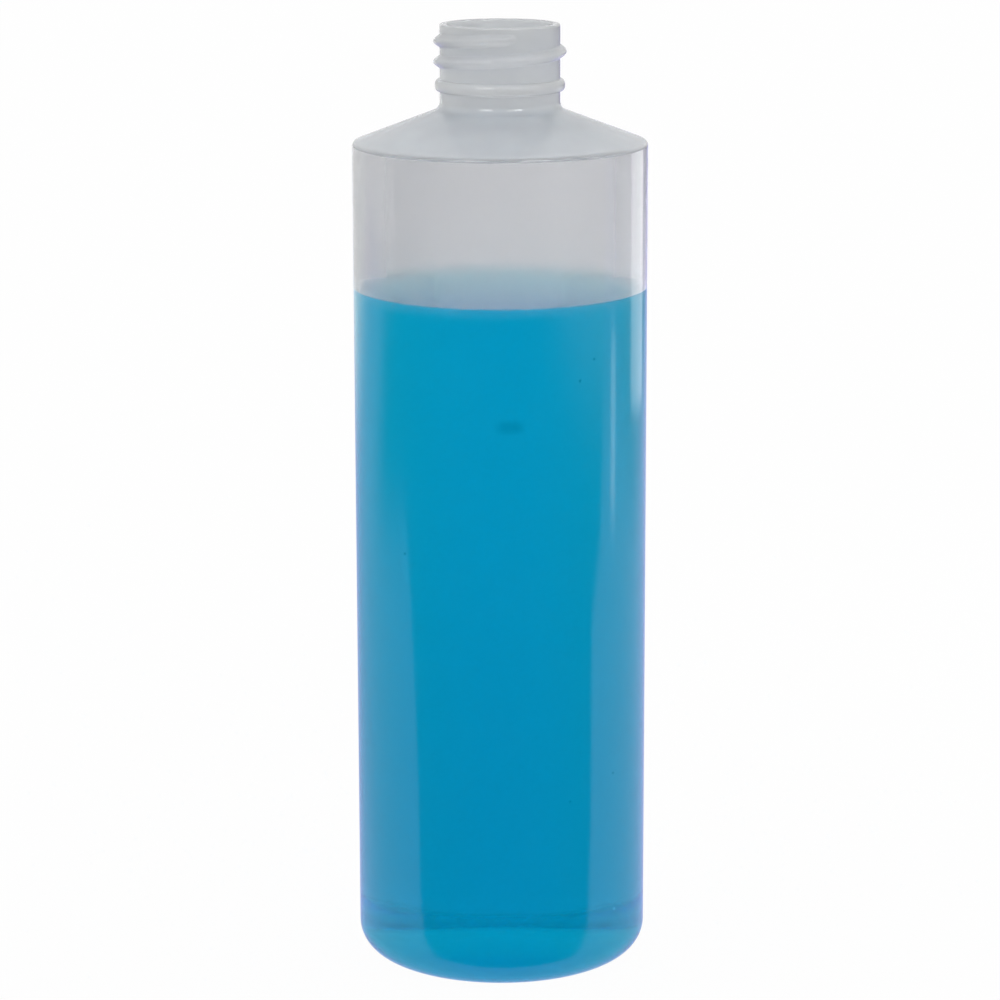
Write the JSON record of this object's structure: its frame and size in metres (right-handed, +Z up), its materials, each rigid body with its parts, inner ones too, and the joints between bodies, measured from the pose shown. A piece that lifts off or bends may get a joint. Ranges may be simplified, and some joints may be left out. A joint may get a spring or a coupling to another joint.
{
  "type": "cylinder bottle",
  "caption": "Round straight-sided plastic bottle with a conical shoulder and a threaded neck, without a cap, part filled with a blue liquid.",
  "frame": {"origin": "on the bottle's axis, in the plane that it stands on", "axes": "+Z up along the axis, from the base to the lip; -Y is the side that faces the camera in the picture, +X is to the right there"},
  "size_m": [0.061, 0.061, 0.198],
  "materials": {
    "natural_plastic": "milky translucent blown plastic with a satin surface",
    "blue_liquid": "clear bright blue water-based liquid"
  },
  "bodies": {
    "root": {"bottle": "natural_plastic", "liquid": "blue_liquid"}
  },
  "joints": []
}
